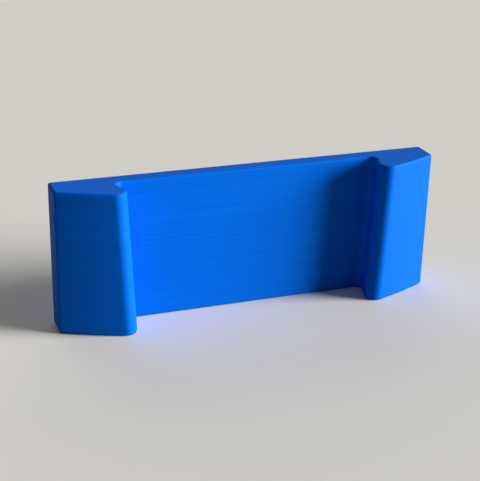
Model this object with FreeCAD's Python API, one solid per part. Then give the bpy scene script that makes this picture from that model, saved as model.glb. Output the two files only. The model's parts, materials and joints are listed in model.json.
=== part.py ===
# Pegboard hook: one printed piece with two hooks that drop into a pair of slots, and a body
# whose two shoulders hold what hangs between them, so that it lifts out upwards.
# X runs to the right, Y towards the hooks and Z up, all in millimetres. The origin lies
# on the body's back face, midway between the two slots and level with their centres.
import FreeCAD, Part
import math
import os

# Slots that the hooks fit
SLOT_PITCH = 40.0            # between the centres of the two slots
SLOT_WIDTH = 5.0
SLOT_HEIGHT = 15.0
SLOT_DEPTH = 5.0             # from the body's back face to the slots' far end

# Body
BODY_WIDTH = 80.5
BODY_HEIGHT = 30.0
TOP_ABOVE_SLOTS = 10.3       # top face above the slots' centres
SIDE_DEPTH = 5.5             # back face to the outer front corners
ARC_DEPTH = 15.0             # back face to the middle of the arc that the front follows
CORNER_RADIUS = 0.8          # rounding of the outer front corners
EDGE_RADIUS = 0.5            # rounding round the top and bottom faces

# Channel between the shoulders
FLOOR_THICKNESS = 3.0
FLOOR_TOP_WIDTH = 56.6       # of the channel's floor at the top face
FLOOR_BOTTOM_WIDTH = 54.0    # of the channel's floor at the bottom face
WALL_LEAN = 20.0             # degrees by which each wall leans over the floor
ROOT_RADIUS = 1.5            # where a wall meets the floor
LIP_RADIUS = 2.2             # where a wall meets the front

# Hooks
SLOT_PLAY = 0.4              # a slot's width less a hook's width
ENTRY_PLAY = 1.0             # a slot's height less a tab's height
TAB_PLAY = 0.3               # a tab's distance from the slots' far end
TAB_THICKNESS = 4.5
TAB_DROP = 5.0               # how far a tab reaches below its slot
TAB_BEVEL = 0.9              # bevel round both faces of a tab

# Cutting solids run this far past the faces that they open
OVERCUT = 5.0
# Largest distance at which two places count as the same
NEAR = 0.01

TOP = TOP_ABOVE_SLOTS
BOTTOM = TOP - BODY_HEIGHT
SLOT_BOTTOM = -SLOT_HEIGHT / 2
TAB_FRONT = SLOT_DEPTH + TAB_PLAY
TAB_BACK = TAB_FRONT + TAB_THICKNESS
UP = FreeCAD.Vector(0, 0, 1)
INWARDS = FreeCAD.Vector(0, 1, 0)


def line(start, end):
    return Part.LineSegment(start, end).toShape()


def arc(start, middle, end):
    return Part.Arc(start, middle, end).toShape()


def mirrored(point):
    return FreeCAD.Vector(-point.x, point.y, point.z)


def body_block():
    """Body before the channel: a flat back, two short sides and one wide arc for the front."""
    back = FreeCAD.Vector(BODY_WIDTH / 2, 0, BOTTOM)
    corner = FreeCAD.Vector(BODY_WIDTH / 2, -SIDE_DEPTH, BOTTOM)
    crest = FreeCAD.Vector(0, -ARC_DEPTH, BOTTOM)
    outline = Part.Wire([
        line(mirrored(back), back),
        line(back, corner),
        arc(corner, crest, mirrored(corner)),
        line(mirrored(corner), mirrored(back)),
    ])
    return Part.Face(outline).extrude(BODY_HEIGHT * UP)


def channel_section(height):
    """Corners of the channel, seen from above, at one height. It runs on past the front."""
    share = (height - BOTTOM) / BODY_HEIGHT
    floor_width = FLOOR_BOTTOM_WIDTH + share * (FLOOR_TOP_WIDTH - FLOOR_BOTTOM_WIDTH)
    reach = ARC_DEPTH + OVERCUT - FLOOR_THICKNESS
    lean = reach * math.tan(math.radians(WALL_LEAN))
    floor = FreeCAD.Vector(floor_width / 2, -FLOOR_THICKNESS, height)
    front = floor - FreeCAD.Vector(lean, reach, 0)
    return [mirrored(front), front, floor, mirrored(floor)]


def polygon_face(points):
    return Part.Face(Part.makePolygon(points + points[:1]))


def channel():
    """Space between the shoulders. Its walls close in downwards and lean over the floor."""
    low = channel_section(BOTTOM - OVERCUT)
    high = channel_section(TOP + OVERCUT)
    sides = [polygon_face([low[i - 1], low[i], high[i], high[i - 1]]) for i in range(len(low))]
    solid = Part.Solid(Part.Shell([polygon_face(low), polygon_face(high)] + sides))
    solid.fix(NEAR, NEAR, NEAR)
    return solid


def rising_edges(shape, front, back):
    """Edges from the bottom face to the top face whose depth lies between front and back."""
    return [
        edge for edge in shape.Edges
        if edge.BoundBox.ZLength > BODY_HEIGHT - NEAR and front < edge.CenterOfMass.y < back
    ]


def rounded_corners(shape):
    """Body with its outer corners, channel roots and lips rounded. The back corners stay square."""
    def round_at(shape, radius, depth):
        return shape.makeFillet(radius, rising_edges(shape, -depth - NEAR, -depth + NEAR))

    lips = rising_edges(shape, -ARC_DEPTH, -SIDE_DEPTH - NEAR)
    shape = shape.makeFillet(LIP_RADIUS, lips)
    shape = round_at(shape, ROOT_RADIUS, FLOOR_THICKNESS)
    return round_at(shape, CORNER_RADIUS, SIDE_DEPTH)


def rounded_rims(shape):
    """Body with the edges of its top and bottom faces rounded, apart from those on the back face."""
    rims = [
        edge for edge in shape.Edges
        if edge.BoundBox.ZLength < NEAR and edge.BoundBox.YMin < -NEAR
    ]
    return shape.makeFillet(EDGE_RADIUS, rims)


def body():
    return rounded_rims(rounded_corners(body_block().cut(channel())))


def slot_bar(low, high, front, back):
    """Bar with the width and round ends of a hook, from one height and one depth to another."""
    radius = (SLOT_WIDTH - SLOT_PLAY) / 2
    lower = FreeCAD.Vector(radius, front, low + radius)
    upper = FreeCAD.Vector(radius, front, high - radius)
    outline = Part.Wire([
        line(lower, upper),
        arc(upper, FreeCAD.Vector(0, front, high), mirrored(upper)),
        line(mirrored(upper), mirrored(lower)),
        arc(mirrored(lower), FreeCAD.Vector(0, front, low), lower),
    ])
    return Part.Face(outline).extrude((back - front) * INWARDS)


def hook():
    """Stem that sits on a slot's bottom, with a tab past the slot's far end that reaches below it."""
    tab_bottom = SLOT_BOTTOM - TAB_DROP
    tab_top = tab_bottom + SLOT_HEIGHT - ENTRY_PLAY
    tab = slot_bar(tab_bottom, tab_top, TAB_FRONT, TAB_BACK)
    outlines = [edge for edge in tab.Edges if edge.BoundBox.YLength < NEAR]
    tab = tab.makeChamfer(TAB_BEVEL, outlines)
    stem = slot_bar(SLOT_BOTTOM, tab_top, -FLOOR_THICKNESS / 2, (TAB_FRONT + TAB_BACK) / 2)
    return stem.fuse(tab)


def holder():
    """Whole piece: the body with a hook for each slot."""
    shape = body()
    for side in (-1, 1):
        placed = hook()
        placed.translate(FreeCAD.Vector(side * SLOT_PITCH / 2, 0, 0))
        shape = shape.fuse(placed)
    return shape.removeSplitter()


def main():
    os.makedirs("parts", exist_ok=True)
    shape = holder()
    shape.exportStep("parts/holder.step")
    print("holder: %d solid, valid %s, %.1f mm3" % (len(shape.Solids), shape.isValid(), shape.Volume))


main()
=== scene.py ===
# Printed holder for two slots: its modelled body and hooks, its finish, and the studio round it.
# Everything is in metres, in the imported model's frame: X right, Y towards the hooks, Z up.
import json
import math

import bpy
from bpy.props import FloatProperty, FloatVectorProperty, PointerProperty
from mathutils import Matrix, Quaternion, Vector


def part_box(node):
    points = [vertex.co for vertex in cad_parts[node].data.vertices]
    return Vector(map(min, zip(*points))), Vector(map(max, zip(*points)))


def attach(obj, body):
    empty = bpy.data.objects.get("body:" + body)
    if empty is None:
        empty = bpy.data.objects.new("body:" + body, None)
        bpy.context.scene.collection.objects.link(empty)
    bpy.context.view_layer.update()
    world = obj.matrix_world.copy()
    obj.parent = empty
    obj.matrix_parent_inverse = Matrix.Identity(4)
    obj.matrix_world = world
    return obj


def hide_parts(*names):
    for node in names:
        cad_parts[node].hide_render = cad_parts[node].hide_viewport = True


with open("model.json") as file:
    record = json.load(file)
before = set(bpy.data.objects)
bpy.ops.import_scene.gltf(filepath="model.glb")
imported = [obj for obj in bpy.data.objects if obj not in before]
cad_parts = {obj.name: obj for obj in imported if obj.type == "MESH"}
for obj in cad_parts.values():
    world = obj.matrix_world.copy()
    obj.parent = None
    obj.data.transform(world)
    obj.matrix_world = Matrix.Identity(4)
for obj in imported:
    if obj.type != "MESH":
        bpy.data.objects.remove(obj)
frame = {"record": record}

bl_info = {
    "name": "Slot holder",
    "version": (1, 0, 0),
    "blender": (4, 5, 0),
    "location": "3D View > Sidebar > Slot Holder",
    "description": "Models a printed holder with two hooks, finishes it and lights it",
    "category": "Object",
}

NODE = "holder"
PIECE = "holder_print"
LOW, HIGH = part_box(NODE)
MOUNTS = {mount["name"]: mount for mount in frame["record"]["mounts"]}
HOOK_PLACE = Vector(MOUNTS["hook_right"]["pos_m"])

UP = Vector((0, 0, 1))
INWARDS = Vector((0, 1, 0))

# Modelling
NEAR = 1e-6                  # two places closer together than this are one place
SHARP = math.radians(40)     # edges that turn by more than this are sharp
SEED = 0.001                 # side of the plane that shrinks to an outline's first point
ROUND_STEPS = 24             # strokes in the half-round end of a hook

# Printed lines and layers
GROOVE_SHARPNESS = 3.0       # power that gives a bead its section: a higher one has a flatter top
WAVER_LENGTH = 0.014         # length over which a line drifts in and out
WAVER_STRIDE = 3.7           # distance in the waver's pattern from one layer to the next
WAVER_LEVEL = 0.5            # height in the waver's pattern that the top and bottom faces show
BAND_LENGTH = 0.040          # length and height of the faint bands that several layers make together
BAND_HEIGHT = 0.0016
SEAM_REACH = 0.0008          # round the corner where each layer starts and ends
SEAM_CORE = SEAM_REACH / 3   # where the seam is at its full size
SEAM_LEAST = 0.4             # share of that size that it keeps in every layer
LOOPS = 2                    # lines that follow the outline before the slanted ones start
LOOP_BLEND = 0.1             # part of a line over which loops give way to slanted lines
SCAR_LENGTH = 0.0005         # grain of the rough undersides of the hooks
SCAR_RELIEF = 4.0            # their roughness against the relief of the layers

# What each trait of a surface adds to its relief and to its tone
LAYER_RELIEF = {"bead": 0.8, "step": 0.2, "waver": 0.25, "band": 0.3, "seam": 3.0}
LAYER_TONE = {"step": 0.35, "waver": 0.35, "band": 0.3}
SKIN_RELIEF = {"bead": 0.8, "line": 0.2, "waver": 0.32}
SKIN_TONE = {"line": 0.35, "waver": 0.65}
TONE_LIMITS = (0.2, 0.8)     # tones that get the darkest and the lightest colour

# Upward part of the normal, where one kind of face starts and where it is that kind alone
FLAT_FACE = (0.86, 0.98)
UNDERSIDE = (-0.3, -0.8)

# Changes of roughness
TONE_ROUGHNESS = 0.16        # from the lowest tone to the highest
SCAR_ROUGHNESS = 0.15        # added on the undersides of the hooks
SKIN_GLOSS = 0.05            # taken off on the top and bottom faces

LAMP_COLOUR = (1, 0.985, 0.96)
SURROUND_COLOUR = (0.96, 0.98, 1)
BACKDROP_COLOUR = (1, 0.970, 0.898)


def a_length(label, text, default):
    """Property for a length."""
    return FloatProperty(name=label, description=text, default=default, unit="LENGTH", precision=5)


def an_angle(label, text, degrees):
    """Property for an angle."""
    return FloatProperty(name=label, description=text, default=math.radians(degrees), subtype="ANGLE")


def a_share(label, text, default):
    """Property for a share from 0 to 1."""
    return FloatProperty(name=label, description=text, default=default, min=0, max=1, subtype="FACTOR")


def a_strength(label, text, default):
    """Property for the strength of a light."""
    return FloatProperty(name=label, description=text, default=default, min=0)


def a_colour(label, text, default):
    """Property for a colour."""
    return FloatVectorProperty(
        name=label, description=text, default=default, size=3, min=0, max=1, subtype="COLOR")


def a_place(label, text, default):
    """Property for a point."""
    return FloatVectorProperty(
        name=label, description=text, default=default, size=3, precision=5, subtype="TRANSLATION")


class HolderSizes(bpy.types.PropertyGroup):
    """Sizes of the holder that a user would change."""
    width: a_length("Width", "Body from side to side", HIGH.x - LOW.x)
    bottom: a_length("Bottom", "Height of the bottom face", LOW.z)
    top: a_length("Top", "Height of the top face", HIGH.z)
    side_depth: a_length("Side depth", "Back face to the outer front corners", 0.0055)
    arc_depth: a_length("Arc depth", "Back face to the middle of the front's wide arc", 0.015)
    corner_radius: a_length("Corner radius", "Rounding of the outer front corners", 0.0008)
    rim_radius: a_length("Rim radius", "Rounding round the top and bottom faces", 0.0005)
    floor_thickness: a_length("Floor thickness", "Back face to the channel's floor", 0.003)
    floor_top_width: a_length("Floor width at the top", "Channel's floor at the top face", 0.0566)
    floor_bottom_width: a_length("Floor width at the bottom", "Channel's floor at the bottom face", 0.0540)
    wall_lean: an_angle("Wall lean", "Angle by which each wall leans over the channel's floor", 20)
    root_radius: a_length("Root radius", "Rounding where a wall meets the floor", 0.0015)
    lip_radius: a_length("Lip radius", "Rounding where a wall meets the front", 0.0022)
    hook_offset: a_length("Hook offset", "Middle of the body to the middle of a hook", HOOK_PLACE.x)
    hook_width: a_length("Hook width", "Hook from side to side", 0.0046)
    stem_bottom: a_length("Stem bottom", "Height of a stem's underside", HOOK_PLACE.z)
    hook_top: a_length("Hook top", "Height of a hook's top", 0.0015)
    tab_bottom: a_length("Tab bottom", "Height of a tab's lower end", -0.0125)
    tab_front: a_length("Tab front", "Back face to a tab", 0.0053)
    tab_back: a_length("Tab back", "Back face to the far side of a tab", HIGH.y)
    tab_bevel: a_length("Tab bevel", "Bevel round both faces of a tab", 0.0009)
    softening: a_length("Softening", "Rounding of the edges that are sharp in the plan", 0.00012)


class PrintFinish(bpy.types.PropertyGroup):
    """Colour and surface of the printed plastic."""
    colour: a_colour("Colour", "Colour of the plastic", (0.0, 0.145, 0.76))
    tone_spread: a_share("Tone spread", "How much lighter or darker one layer is than the next", 0.07)
    roughness: a_share("Roughness", "Gloss of the plastic, from 0 for polished to 1 for dull", 0.50)
    shine: a_share("Shine", "Strength of the reflections", 0.11)
    shine_tint: a_colour("Shine tint", "Colour of the reflections, seen face on", (0.2, 0.6, 1.0))
    layer_height: a_length("Layer height", "Height of one printed layer", 0.00028)
    line_width: a_length("Line width", "Width of one printed line on the top and bottom faces", 0.00045)
    relief: a_length("Relief", "Depth of the grooves between the layers", 0.000028)


class Studio(bpy.types.PropertyGroup):
    """Camera, lights and floor. Azimuths run from the front towards the right."""
    camera_place: a_place(
        "Camera place", "Where the photograph was taken from", (-0.0768285, -0.2077816, 0.0863574))
    camera_target: a_place(
        "Camera target", "Point at the middle of the picture", (-0.0020, -0.0041, -0.0048))
    camera_roll: an_angle("Camera roll", "Turn of the camera about its line of sight", 1.25)
    lens: FloatProperty(name="Lens", description="Focal length", default=85.8, unit="CAMERA")
    key_azimuth: an_angle("Key azimuth", "Side that the key light comes from", 66)
    key_elevation: an_angle("Key elevation", "Height that the key light comes from", 14)
    key_spread: an_angle("Key spread", "Width of the key light as the holder sees it", 28)
    key_strength: a_strength("Key strength", "Strength of the key light", 6.6)
    back_azimuth: an_angle("Back azimuth", "Side that the back light comes from", 172)
    back_elevation: an_angle("Back elevation", "Height that the back light comes from", 12)
    back_spread: an_angle("Back spread", "Width of the back light as the holder sees it", 70)
    back_strength: a_strength("Back strength", "Strength of the back light", 1.25)
    surround: a_strength("Surround", "Strength of the light from all sides", 0.09)
    backdrop: a_strength("Backdrop", "Brightness of what shows past the end of the floor", 0.634)
    floor_size: a_length("Floor size", "Side of the square floor", 60)
    floor_colour: a_colour("Floor colour", "Colour of the floor", (0.909, 0.890, 0.840))
    floor_bounce: a_share("Floor bounce", "Share of its light that the floor throws back", 0.5)


class Pen:
    """Draws an outline in edit mode, vertex by vertex. Each stroke starts where the last one ended."""

    def __init__(self, start, axis):
        self.point = Vector(start)
        self.axis = axis
        bpy.ops.mesh.select_all(action="DESELECT")
        bpy.ops.mesh.primitive_plane_add(size=SEED, location=self.point)
        bpy.ops.mesh.merge(type="CENTER")

    def line(self, end, steps=1):
        """Straight stroke to a point."""
        step = (Vector(end) - self.point) / steps
        for _ in range(steps):
            bpy.ops.mesh.extrude_region_move(TRANSFORM_OT_translate={"value": step})
        self.point = Vector(end)

    def arc(self, centre, end, angle, steps):
        """Round stroke about a centre to a point. The angle follows the right-hand rule about the axis."""
        bpy.ops.mesh.spin(steps=steps, angle=-angle, center=centre, axis=self.axis)
        self.point = Vector(end)


def new_mesh(name):
    """Empty mesh object at the origin, in edit mode."""
    bpy.ops.object.select_all(action="DESELECT")
    made = bpy.data.objects.new(name, bpy.data.meshes.new(name))
    bpy.context.collection.objects.link(made)
    bpy.context.view_layer.objects.active = made
    made.select_set(True)
    bpy.ops.object.mode_set(mode="EDIT")
    bpy.ops.mesh.select_mode(type="VERT")
    return made


def select_edges(made, wanted):
    """Selects, in edit mode, the edges whose two ends pass the test."""
    bpy.ops.mesh.select_mode(type="EDGE")
    bpy.ops.mesh.select_all(action="DESELECT")
    bpy.ops.object.mode_set(mode="OBJECT")
    places = made.data.vertices
    for edge in made.data.edges:
        edge.select = wanted(*(places[index].co for index in edge.vertices))
    bpy.ops.object.mode_set(mode="EDIT")


def apply_modifier(made, kind, **settings):
    """Adds a modifier to a mesh and applies it."""
    modifier = made.modifiers.new(kind.title(), kind)
    for key, value in settings.items():
        setattr(modifier, key, value)
    bpy.context.view_layer.objects.active = made
    bpy.ops.object.modifier_apply(modifier=modifier.name)


def front_radius(sizes):
    """Radius of the wide arc that the front follows."""
    half = sizes.width / 2
    rise = sizes.arc_depth - sizes.side_depth
    return (half ** 2 + rise ** 2) / (2 * rise)


def half_floor(sizes, height):
    """Half the width of the channel's floor at one height, which is a number or a field."""
    growth = (sizes.floor_top_width - sizes.floor_bottom_width) / (sizes.top - sizes.bottom)
    return ((height - sizes.bottom) * growth + sizes.floor_bottom_width) / 2


def draw_right_half(sizes, height):
    """Right half of the body's outline at one height, from the middle of the back to that of the floor."""
    half = sizes.width / 2
    radius = front_radius(sizes)
    lean = sizes.wall_lean

    centre = Vector((0, radius - sizes.arc_depth, height))
    root = Vector((half_floor(sizes, height), -sizes.floor_thickness, height))
    forwards = Vector((-math.sin(lean), -math.cos(lean), 0))
    into_body = Vector((math.cos(lean), -math.sin(lean), 0))

    # Outer corner: its rounding touches the side and the front
    corner_centre = Vector((half - sizes.corner_radius, 0, height))
    corner_centre.y = centre.y - math.sqrt((radius - sizes.corner_radius) ** 2 - corner_centre.x ** 2)
    corner_turn = math.atan2(corner_centre.y - centre.y, corner_centre.x)
    corner_end = corner_centre + sizes.corner_radius * (corner_centre - centre).normalized()

    # Lip: its rounding touches the front and the wall
    from_centre = root + sizes.lip_radius * into_body - centre
    along = from_centre.dot(forwards)
    reach = math.sqrt(along ** 2 - from_centre.length_squared + (radius - sizes.lip_radius) ** 2) - along
    lip_centre = centre + from_centre + reach * forwards
    lip_start = lip_centre + sizes.lip_radius * (lip_centre - centre).normalized()
    lip_angle = math.atan2(lip_centre.y - centre.y, lip_centre.x)

    # Root: its rounding touches the wall and the floor
    root_centre = root - sizes.root_radius * into_body
    root_centre += sizes.root_radius * (1 + math.sin(lean)) / math.cos(lean) * forwards

    pen = Pen((0, 0, height), UP)
    pen.line((half, 0, height), steps=12)
    pen.line((half, corner_centre.y, height), steps=3)
    pen.arc(corner_centre, corner_end, corner_turn, steps=6)
    pen.arc(centre, lip_start, lip_angle - corner_turn, steps=20)
    pen.arc(lip_centre, lip_centre - sizes.lip_radius * into_body, -math.pi - lean - lip_angle, steps=20)
    pen.line(root_centre + sizes.root_radius * into_body, steps=3)
    pen.arc(root_centre, (root_centre.x, root.y, height), math.pi / 2 + lean, steps=10)
    pen.line((0, root.y, height), steps=10)


def at_height(height):
    """Test for edges that lie at one height."""
    return lambda a, b: max(abs(a.z - height), abs(b.z - height)) < NEAR


def model_body(sizes):
    """Body with its shoulders and channel, rounded round its top and bottom faces."""
    made = new_mesh(PIECE)
    draw_right_half(sizes, sizes.bottom)
    draw_right_half(sizes, sizes.top)
    bpy.ops.mesh.select_all(action="SELECT")
    bpy.ops.mesh.bridge_edge_loops(number_cuts=11, interpolation="LINEAR")
    bpy.ops.object.mode_set(mode="OBJECT")
    apply_modifier(made, "MIRROR", use_axis=(True, False, False), merge_threshold=NEAR)

    bpy.ops.object.mode_set(mode="EDIT")
    bpy.ops.mesh.select_all(action="SELECT")
    bpy.ops.mesh.remove_doubles(threshold=NEAR)
    for height in (sizes.bottom, sizes.top):
        select_edges(made, at_height(height))
        bpy.ops.mesh.edge_face_add()
    bpy.ops.mesh.select_all(action="SELECT")
    bpy.ops.mesh.normals_make_consistent(inside=False)
    for height in (sizes.bottom, sizes.top):
        is_level = at_height(height)
        select_edges(made, lambda a, b: is_level(a, b) and min(a.y, b.y) < -NEAR)
        bpy.ops.mesh.bevel(offset=sizes.rim_radius, segments=5, profile=0.5, affect="EDGES")
    bpy.ops.object.mode_set(mode="OBJECT")
    return made


def model_bar(name, sizes, low, high, front, back, bevel=0.0):
    """Bar with half-round ends at the right hook's place, from one height and one depth to another."""
    radius = sizes.hook_width / 2
    middle = sizes.hook_offset
    made = new_mesh(name)
    left, right = middle - radius, middle + radius
    lower, upper = low + radius, high - radius
    pen = Pen((right, front, lower), INWARDS)
    pen.line((right, front, upper))
    pen.arc((middle, front, upper), (left, front, upper), -math.pi, steps=ROUND_STEPS)
    pen.line((left, front, lower))
    pen.arc((middle, front, lower), (right, front, lower), -math.pi, steps=ROUND_STEPS)
    bpy.ops.mesh.select_all(action="SELECT")
    bpy.ops.mesh.remove_doubles(threshold=NEAR)
    bpy.ops.mesh.edge_face_add()
    bpy.ops.mesh.extrude_region_move(TRANSFORM_OT_translate={"value": (back - front) * INWARDS})
    bpy.ops.mesh.select_all(action="SELECT")
    bpy.ops.mesh.normals_make_consistent(inside=False)
    if bevel:
        select_edges(made, lambda a, b: abs(a.y - b.y) < NEAR)
        bpy.ops.mesh.bevel(offset=bevel, segments=1, affect="EDGES")
    bpy.ops.object.mode_set(mode="OBJECT")
    return made


def join_solid(made, other):
    """Fuses another solid into a mesh."""
    apply_modifier(made, "BOOLEAN", operation="UNION", solver="EXACT", object=other)
    bpy.data.objects.remove(other)


def model_hooks(sizes):
    """Both hooks: stems that start inside the body's floor, with tabs that reach below the slots."""
    inside = -sizes.floor_thickness / 2
    middle = (sizes.tab_front + sizes.tab_back) / 2
    hook = model_bar("stem", sizes, sizes.stem_bottom, sizes.hook_top, inside, middle)
    tab = model_bar("tab", sizes, sizes.tab_bottom, sizes.hook_top, sizes.tab_front, sizes.tab_back,
                    bevel=sizes.tab_bevel)
    join_solid(hook, tab)
    apply_modifier(hook, "MIRROR", use_axis=(True, False, False))
    return hook


def soften(made, sizes):
    """Rounds the edges that are still sharp, and keeps the shading of large faces flat."""
    bpy.ops.object.select_all(action="DESELECT")
    made.select_set(True)
    bpy.context.view_layer.objects.active = made
    bpy.ops.object.mode_set(mode="EDIT")
    bpy.ops.mesh.select_all(action="SELECT")
    bpy.ops.mesh.remove_doubles(threshold=NEAR)
    bpy.ops.mesh.dissolve_degenerate(threshold=NEAR)
    bpy.ops.object.mode_set(mode="OBJECT")
    apply_modifier(
        made, "BEVEL", width=sizes.softening, segments=2, limit_method="ANGLE", angle_limit=SHARP)
    bpy.ops.object.shade_smooth_by_angle(angle=SHARP)
    apply_modifier(made, "WEIGHTED_NORMAL", weight=100, keep_sharp=True)


class HOLDER_OT_model(bpy.types.Operator):
    """Models the printed holder in one piece: its body and both hooks"""
    bl_idname = "holder.model"
    bl_label = "Model Holder"

    def execute(self, context):
        sizes = context.scene.holder_sizes
        body = model_body(sizes)
        join_solid(body, model_hooks(sizes))
        soften(body, sizes)
        body.data.materials.clear()
        body.data.materials.append(printed_plastic(sizes, context.scene.print_finish))
        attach(body, "root")
        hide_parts(NODE)
        return {"FINISHED"}


class Field:
    """Value that changes over the surface, so that a pattern can be written as a formula."""

    def __init__(self, tree, socket):
        self.tree = tree
        self.socket = socket

    def worked(self, operation, *others):
        """This value and others, put through a Math node."""
        node = self.tree.nodes.new("ShaderNodeMath")
        node.operation = operation
        for socket, value in zip(node.inputs, (self, *others)):
            put(self.tree, value, socket)
        return Field(self.tree, node.outputs["Value"])

    def __add__(self, other):
        return self.worked("ADD", other)

    def __sub__(self, other):
        return self.worked("SUBTRACT", other)

    def __rsub__(self, other):
        return (self * -1) + other

    def __mul__(self, other):
        return self.worked("MULTIPLY", other)

    def __truediv__(self, other):
        return self.worked("DIVIDE", other)

    def __abs__(self):
        return self.worked("ABSOLUTE")

    def rise(self, low, high):
        """0 at low, 1 at high, and a smooth change between them."""
        node = self.tree.nodes.new("ShaderNodeMapRange")
        node.interpolation_type = "SMOOTHSTEP"
        for name, value in (("Value", self), ("From Min", low), ("From Max", high)):
            put(self.tree, value, node.inputs[name])
        return Field(self.tree, node.outputs["Result"])

    def towards(self, other, share):
        """This value where the share is 0 and the other where it is 1."""
        return self + (other - self) * share

    def bead(self):
        """Section of printed lines side by side, one to each whole number: 0 in a groove and 1 on top."""
        off_middle = abs(self.worked("FRACT") * 2 - 1)
        return 1 - off_middle.worked("POWER", GROOVE_SHARPNESS)

    def scatter(self):
        """Chance value from 0 to 1 for each whole number."""
        node = self.tree.nodes.new("ShaderNodeTexWhiteNoise")
        node.noise_dimensions = "1D"
        put(self.tree, self.worked("FLOOR"), node.inputs["W"])
        return Field(self.tree, node.outputs["Value"])


def put(tree, value, socket):
    """Gives a node's input a field or a plain number."""
    if isinstance(value, Field):
        tree.links.new(value.socket, socket)
    else:
        socket.default_value = value


def split(tree, socket):
    """X, Y and Z of a vector."""
    node = tree.nodes.new("ShaderNodeSeparateXYZ")
    tree.links.new(socket, node.inputs["Vector"])
    return [Field(tree, output) for output in node.outputs]


def mixed(traits, shares):
    """Sum of the named fields, each times its share."""
    first, *others = (traits[name] * share for name, share in shares.items())
    for other in others:
        first += other
    return first


def clouds(tree, x, y, z, detail):
    """Soft chance pattern from 0 to 1 whose patches are about 1 across."""
    place = tree.nodes.new("ShaderNodeCombineXYZ")
    for value, socket in zip((x, y, z), place.inputs):
        put(tree, value, socket)
    noise = tree.nodes.new("ShaderNodeTexNoise")
    noise.inputs["Scale"].default_value = 1
    noise.inputs["Detail"].default_value = detail
    tree.links.new(place.outputs["Vector"], noise.inputs["Vector"])
    return Field(tree, noise.outputs["Fac"])


def new_effect(name, pitch):
    """Empty node group that turns a position, and the pitch of its lines, into a height and a tone."""
    tree = bpy.data.node_groups.new(name, "ShaderNodeTree")
    tree.interface.new_socket("Position", in_out="INPUT", socket_type="NodeSocketVector")
    tree.interface.new_socket(pitch, in_out="INPUT", socket_type="NodeSocketFloat")
    for label in ("Height", "Tone"):
        tree.interface.new_socket(label, in_out="OUTPUT", socket_type="NodeSocketFloat")
    given = tree.nodes.new("NodeGroupInput")
    return tree, given.outputs["Position"], Field(tree, given.outputs[pitch])


def finish_effect(tree, height, tone):
    """Gives a node group its results."""
    result = tree.nodes.new("NodeGroupOutput")
    put(tree, height, result.inputs["Height"])
    put(tree, tone, result.inputs["Tone"])
    return tree


def place_effect(tree, effect, position, pitch):
    """Puts a node group into a material and returns its height and its tone."""
    node = tree.nodes.new("ShaderNodeGroup")
    node.node_tree = effect
    given_position, given_pitch = node.inputs
    tree.links.new(position, given_position)
    given_pitch.default_value = pitch
    return [Field(tree, output) for output in node.outputs]


def layer_lines_effect(sizes):
    """Layers laid on top of each other, each a little out of line with the next, and their seam."""
    tree, position, layer_height = new_effect("layer lines", "Layer height")
    x, y, z = split(tree, position)
    layer = (z - sizes.bottom) / layer_height
    step = layer.scatter()
    number = layer.worked("FLOOR")
    waver = clouds(tree, x / WAVER_LENGTH, y / WAVER_LENGTH, number * WAVER_STRIDE, detail=2)
    band = clouds(tree, x / BAND_LENGTH, y / BAND_LENGTH, z / BAND_HEIGHT, detail=1)

    from_corner = ((x - sizes.width / 2).worked("POWER", 2) + y * y).worked("SQRT")
    size = step * (1 - SEAM_LEAST) + SEAM_LEAST
    seam = from_corner.rise(SEAM_REACH, SEAM_CORE) * layer.bead() * size

    traits = {"bead": layer.bead(), "step": step, "waver": waver, "band": band, "seam": seam}
    return finish_effect(tree, mixed(traits, LAYER_RELIEF), mixed(traits, LAYER_TONE))


def inside_outline(sizes, x, y, z):
    """Distance from a place on the top or bottom face to the nearest part of its outline."""
    sideways = abs(x)
    radius = front_radius(sizes)
    from_middle = ((y - (radius - sizes.arc_depth)).worked("POWER", 2) + x * x).worked("SQRT")
    behind_floor = y + sizes.floor_thickness
    beside_floor = sideways - half_floor(sizes, z)
    beside_wall = beside_floor * math.cos(sizes.wall_lean) - behind_floor * math.sin(sizes.wall_lean)
    inside = behind_floor.worked("SMOOTH_MAX", beside_wall, sizes.root_radius)
    for distance in (radius - from_middle, sizes.width / 2 - sideways, y * -1):
        inside = inside.worked("MINIMUM", distance)
    return inside


def skin_lines_effect(sizes):
    """Lines of the top and bottom faces: loops along the outline, and slanted lines between them."""
    tree, position, line_width = new_effect("skin lines", "Line width")
    x, y, z = split(tree, position)
    loops = inside_outline(sizes, x, y, z) / line_width
    slanted = (x + y) * math.sqrt(0.5) / line_width
    in_middle = loops.rise(LOOPS - LOOP_BLEND, LOOPS + LOOP_BLEND)

    traits = {
        "bead": loops.bead().towards(slanted.bead(), in_middle),
        "line": loops.scatter().towards(slanted.scatter(), in_middle),
        "waver": clouds(tree, x / WAVER_LENGTH, y / WAVER_LENGTH, WAVER_LEVEL, detail=2),
    }
    return finish_effect(tree, mixed(traits, SKIN_RELIEF), mixed(traits, SKIN_TONE))


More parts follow.
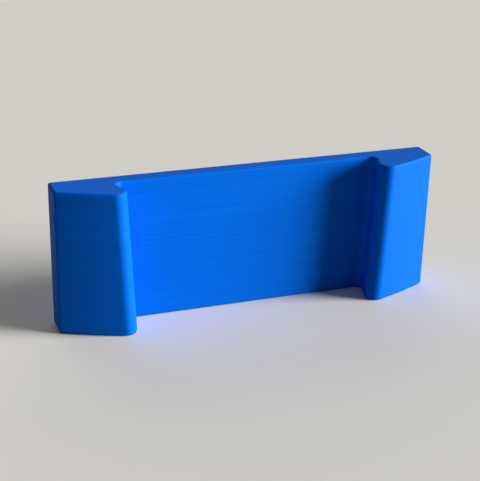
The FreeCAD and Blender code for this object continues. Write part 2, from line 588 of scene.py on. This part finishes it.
def printed_plastic(sizes, finish):
    """Satin plastic in layers, with skin lines on its flat ends and rough undersides on its hooks."""
    material = bpy.data.materials.new("printed_plastic")
    material.use_nodes = True
    tree = material.node_tree
    shader = tree.nodes["Principled BSDF"]
    place = tree.nodes.new("ShaderNodeTexCoord")
    position = place.outputs["Object"]
    x, y, z = split(tree, position)
    upwards = split(tree, place.outputs["Normal"])[2]

    layer_height, layer_tone = place_effect(tree, layer_lines_effect(sizes), position, finish.layer_height)
    skin_height, skin_tone = place_effect(tree, skin_lines_effect(sizes), position, finish.line_width)
    on_skin = abs(upwards).rise(*FLAT_FACE) * y.rise(NEAR, -NEAR)
    on_underside = upwards.rise(*UNDERSIDE) * y.rise(-NEAR, NEAR)
    scars = clouds(tree, x / SCAR_LENGTH, y / SCAR_LENGTH, z / SCAR_LENGTH, detail=3)

    bump = tree.nodes.new("ShaderNodeBump")
    bump.inputs["Distance"].default_value = finish.relief
    height = layer_height.towards(skin_height, on_skin) + scars * on_underside * SCAR_RELIEF
    put(tree, height, bump.inputs["Height"])
    tree.links.new(bump.outputs["Normal"], shader.inputs["Normal"])

    tone = layer_tone.towards(skin_tone, on_skin)
    colour = tree.nodes.new("ShaderNodeMix")
    colour.data_type = "RGBA"
    dark, light = 1 - finish.tone_spread, 1 + finish.tone_spread
    socket_of = {socket.identifier: socket for socket in (*colour.inputs, *colour.outputs)}
    socket_of["A_Color"].default_value = (*(dark * part for part in finish.colour), 1)
    socket_of["B_Color"].default_value = (*(light * part for part in finish.colour), 1)
    put(tree, tone.rise(*TONE_LIMITS), socket_of["Factor_Float"])
    tree.links.new(socket_of["Result_Color"], shader.inputs["Base Color"])

    rough = (tone - 0.5) * TONE_ROUGHNESS + finish.roughness
    rough += on_underside * SCAR_ROUGHNESS - on_skin * SKIN_GLOSS
    put(tree, rough, shader.inputs["Roughness"])
    shader.inputs["Specular IOR Level"].default_value = finish.shine
    shader.inputs["Specular Tint"].default_value = (*finish.shine_tint, 1)
    return material


def for_camera(tree, seen, otherwise, output):
    """Gives a material or world one shader where the camera sees it, and another where light meets it."""
    rays = tree.nodes.new("ShaderNodeLightPath")
    mix = tree.nodes.new("ShaderNodeMixShader")
    tree.links.new(rays.outputs["Is Camera Ray"], mix.inputs["Fac"])
    first, second = (socket for socket in mix.inputs if socket.type == "SHADER")
    tree.links.new(otherwise, first)
    tree.links.new(seen, second)
    tree.links.new(mix.outputs["Shader"], output.inputs["Surface"])


def add_light(name, azimuth, elevation, spread, strength, reflected=True):
    """Wide soft lamp so far away that it lights all of the floor alike."""
    across = math.cos(elevation)
    towards = Vector((math.sin(azimuth) * across, -math.cos(azimuth) * across, math.sin(elevation)))
    bpy.ops.object.light_add(type="SUN", location=towards)
    light = bpy.context.active_object
    light.name = name
    light.rotation_mode = "QUATERNION"
    light.rotation_quaternion = towards.to_track_quat("Z", "Y")
    light.data.angle = spread
    light.data.energy = strength
    light.data.color = LAMP_COLOUR
    light.visible_glossy = reflected


def set_surround(scene, studio):
    """Even light from all sides, behind a plain backdrop that only the camera sees."""
    world = bpy.data.worlds.new("surround")
    world.use_nodes = True
    tree = world.node_tree
    light = tree.nodes["Background"]
    light.inputs["Color"].default_value = (*SURROUND_COLOUR, 1)
    light.inputs["Strength"].default_value = studio.surround
    backdrop = tree.nodes.new("ShaderNodeBackground")
    backdrop.inputs["Color"].default_value = (*BACKDROP_COLOUR, 1)
    backdrop.inputs["Strength"].default_value = studio.backdrop
    for_camera(
        tree, backdrop.outputs["Background"], light.outputs["Background"], tree.nodes["World Output"])
    scene.world = world


def add_floor(studio):
    """Plain pale floor under the holder."""
    bpy.ops.object.select_all(action="DESELECT")
    bpy.ops.mesh.primitive_plane_add(size=studio.floor_size, location=(0, 0, LOW.z))
    floor = bpy.context.active_object
    floor.name = "floor"
    bpy.ops.object.transform_apply(location=True)
    material = bpy.data.materials.new("floor")
    material.use_nodes = True
    tree = material.node_tree
    tree.nodes.remove(tree.nodes["Principled BSDF"])
    seen, thrown_back = (tree.nodes.new("ShaderNodeBsdfDiffuse") for _ in range(2))
    seen.inputs["Color"].default_value = (*studio.floor_colour, 1)
    dimmed = (studio.floor_bounce * part for part in studio.floor_colour)
    thrown_back.inputs["Color"].default_value = (*dimmed, 1)
    for_camera(tree, seen.outputs["BSDF"], thrown_back.outputs["BSDF"], tree.nodes["Material Output"])
    floor.data.materials.append(material)


def add_camera(scene, studio):
    """Camera where the photograph was taken from, turned to look at the holder."""
    place = Vector(studio.camera_place)
    sight = Vector(studio.camera_target) - place
    bpy.ops.object.camera_add(location=place)
    camera = bpy.context.active_object
    camera.name = "camera"
    camera.rotation_mode = "QUATERNION"
    camera.rotation_quaternion = sight.to_track_quat("-Z", "Y") @ Quaternion(UP, studio.camera_roll)
    camera.data.lens = studio.lens
    scene.camera = camera


class HOLDER_OT_stage(bpy.types.Operator):
    """Adds the floor, the lights and the camera"""
    bl_idname = "holder.stage"
    bl_label = "Set Stage"

    def execute(self, context):
        scene = context.scene
        studio = scene.studio
        add_floor(studio)
        add_light(
            "key", studio.key_azimuth, studio.key_elevation, studio.key_spread, studio.key_strength)
        add_light(
            "back", studio.back_azimuth, studio.back_elevation, studio.back_spread, studio.back_strength,
            reflected=False)
        set_surround(scene, studio)
        add_camera(scene, studio)
        scene.view_settings.view_transform = "Standard"
        return {"FINISHED"}


class HOLDER_PT_panel(bpy.types.Panel):
    """Lists the sizes and steps in the 3D view's sidebar"""
    bl_label = "Slot Holder"
    bl_idname = "HOLDER_PT_panel"
    bl_space_type = "VIEW_3D"
    bl_region_type = "UI"
    bl_category = "Slot Holder"

    def draw(self, context):
        for title, group in (
            ("Holder", context.scene.holder_sizes),
            ("Finish", context.scene.print_finish),
            ("Studio", context.scene.studio),
        ):
            box = self.layout.box()
            box.label(text=title)
            for key in group.__annotations__:
                box.prop(group, key)
        self.layout.operator(HOLDER_OT_model.bl_idname)
        self.layout.operator(HOLDER_OT_stage.bl_idname)


CLASSES = (HolderSizes, PrintFinish, Studio, HOLDER_OT_model, HOLDER_OT_stage, HOLDER_PT_panel)
GROUPS = {"holder_sizes": HolderSizes, "print_finish": PrintFinish, "studio": Studio}


def register():
    for made in CLASSES:
        bpy.utils.register_class(made)
    for name, group in GROUPS.items():
        setattr(bpy.types.Scene, name, PointerProperty(type=group))


def unregister():
    for name in GROUPS:
        delattr(bpy.types.Scene, name)
    for made in reversed(CLASSES):
        bpy.utils.unregister_class(made)


def main():
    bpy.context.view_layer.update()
    register()
    bpy.ops.holder.model()
    bpy.ops.holder.stage()


if __name__ == "__main__":
    main()
